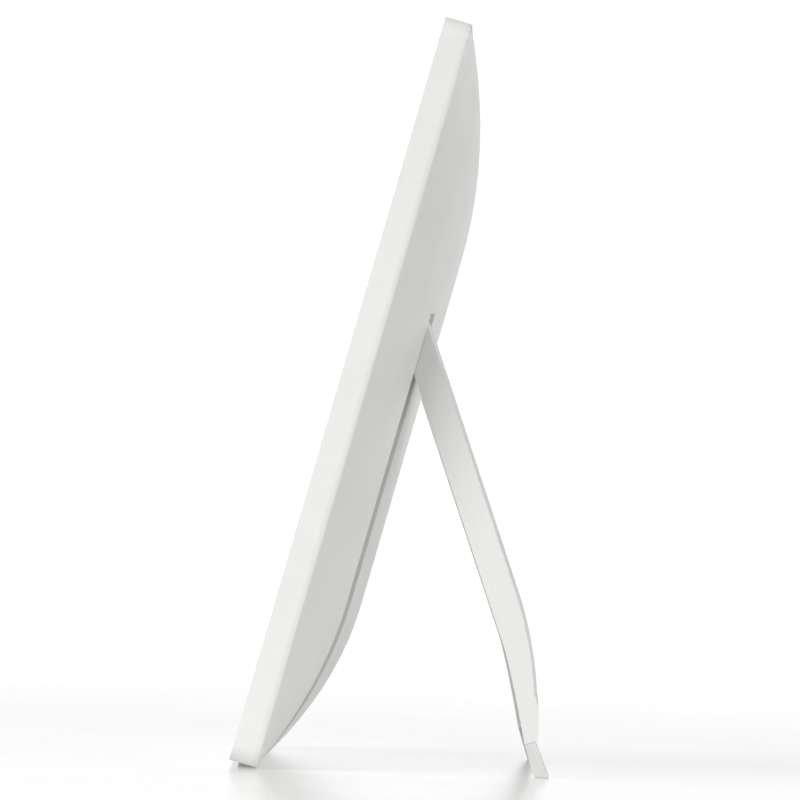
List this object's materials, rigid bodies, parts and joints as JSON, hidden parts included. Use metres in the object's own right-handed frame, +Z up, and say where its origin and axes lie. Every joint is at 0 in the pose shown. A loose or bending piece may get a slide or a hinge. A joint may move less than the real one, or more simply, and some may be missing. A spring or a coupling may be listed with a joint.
{
  "type": "digital photo frame",
  "caption": "Free-standing digital photo frame: white bezel around a flat screen, pillow-shaped rear cover and two folding stand legs.",
  "frame": {"origin": "on the standing surface, under the middle of the standing object, legs open", "axes": "+X to the viewer's right across the frame, +Y back from the screen towards the legs, +Z up"},
  "size_m": [0.268, 0.0879, 0.2075],
  "materials": {
    "white_plastic": "satin moulded",
    "key_plastic": "satin moulded",
    "clear_acrylic": "clear polished",
    "dark_acrylic": "dark infrared-passing",
    "screen": "dark anti-glare glass",
    "diffuser": "matte film",
    "light_guide": "polished acrylic",
    "light_strip": "white strip",
    "steel_sheet": "pressed sheet",
    "board": "green solder resist",
    "flex": "polyimide",
    "flex_white": "flat cable",
    "screw_steel": "zinc plated",
    "spring_steel": "blackened",
    "chip": "moulded",
    "can": "plated",
    "black_plastic": "moulded",
    "socket_metal": "nickel plated",
    "speaker": "frame and cone",
    "lead_red": "insulated lead",
    "washer": "nylon",
    "grey_rubber": "soft matte",
    "foot_rubber": "soft matte"
  },
  "bodies": {
    "frame": {"front_bezel": "white_plastic", "screen_window": "clear_acrylic", "receiver_window": "dark_acrylic", "ir_receiver": "black_plastic", "screen_glass": "screen", "diffuser_sheet": "diffuser", "light_guide": "light_guide", "backlight_strip": "light_strip", "screen_tray": "steel_sheet", "screen_driver_board": "board", "screen_cable": "flex", "screen_clamps": "steel_sheet", "clamp_screws": "screw_steel", "main_board": "board", "processor": "chip", "memory_chips": "chip", "capacitors": "can", "power_coil": "chip", "clock_cell": "can", "cell_holder": "black_plastic", "usb_socket": "socket_metal", "dc_jack": "black_plastic", "card_socket": "socket_metal", "switch_body": "black_plastic", "board_screws": "screw_steel", "key_board": "board", "tact_switches": "black_plastic", "key_cable": "flex_white", "key_board_screws": "screw_steel", "speaker_left": "speaker", "speaker_right": "speaker", "speaker_leads": "lead_red", "rear_cover": "white_plastic", "case_screws": "screw_steel", "hinge_pins": "screw_steel", "friction_washers": "washer", "pin_clips": "spring_steel", "rubber_feet": "grey_rubber"},
    "leg_left": {"stand_arm_left": "white_plastic", "leg_foot_left": "foot_rubber"},
    "leg_right": {"stand_arm_right": "white_plastic", "leg_foot_right": "foot_rubber"},
    "power_switch": {"switch_knob": "black_plastic"},
    "menu_key_1": {"key_1": "key_plastic", "plunger_1": "black_plastic"},
    "menu_key_2": {"key_2": "key_plastic", "plunger_2": "black_plastic"},
    "menu_key_3": {"key_3": "key_plastic", "plunger_3": "black_plastic"},
    "menu_key_4": {"key_4": "key_plastic", "plunger_4": "black_plastic"},
    "menu_key_5": {"key_5": "key_plastic", "plunger_5": "black_plastic"}
  },
  "joints": [
    {"name": "leg_left_fold", "type": "hinge", "parent": "frame", "child": "leg_left", "pos_m": [-0.1024, 0.00213, 0.12242], "axis": [1, 0, 0], "range_deg": [-34.5, 0]},
    {"name": "leg_right_fold", "type": "hinge", "parent": "frame", "child": "leg_right", "pos_m": [0.1024, 0.00213, 0.12242], "axis": [1, 0, 0], "range_deg": [-34.5, 0]},
    {"name": "power_slide", "type": "slide", "parent": "frame", "child": "power_switch", "axis": [0, 0.2419, 0.9703], "range_m": [0, 0.002]},
    {"name": "key_1_press", "type": "slide", "parent": "frame", "child": "menu_key_1", "axis": [0, -0.9703, 0.2419], "range_m": [0, 0.0005], "stiffness_N_per_m": 1500, "springref_m": -0.0005},
    {"name": "key_2_press", "type": "slide", "parent": "frame", "child": "menu_key_2", "axis": [0, -0.9703, 0.2419], "range_m": [0, 0.0005], "stiffness_N_per_m": 1500, "springref_m": -0.0005},
    {"name": "key_3_press", "type": "slide", "parent": "frame", "child": "menu_key_3", "axis": [0, -0.9703, 0.2419], "range_m": [0, 0.0005], "stiffness_N_per_m": 1500, "springref_m": -0.0005},
    {"name": "key_4_press", "type": "slide", "parent": "frame", "child": "menu_key_4", "axis": [0, -0.9703, 0.2419], "range_m": [0, 0.0005], "stiffness_N_per_m": 1500, "springref_m": -0.0005},
    {"name": "key_5_press", "type": "slide", "parent": "frame", "child": "menu_key_5", "axis": [0, -0.9703, 0.2419], "range_m": [0, 0.0005], "stiffness_N_per_m": 1500, "springref_m": -0.0005}
  ]
}
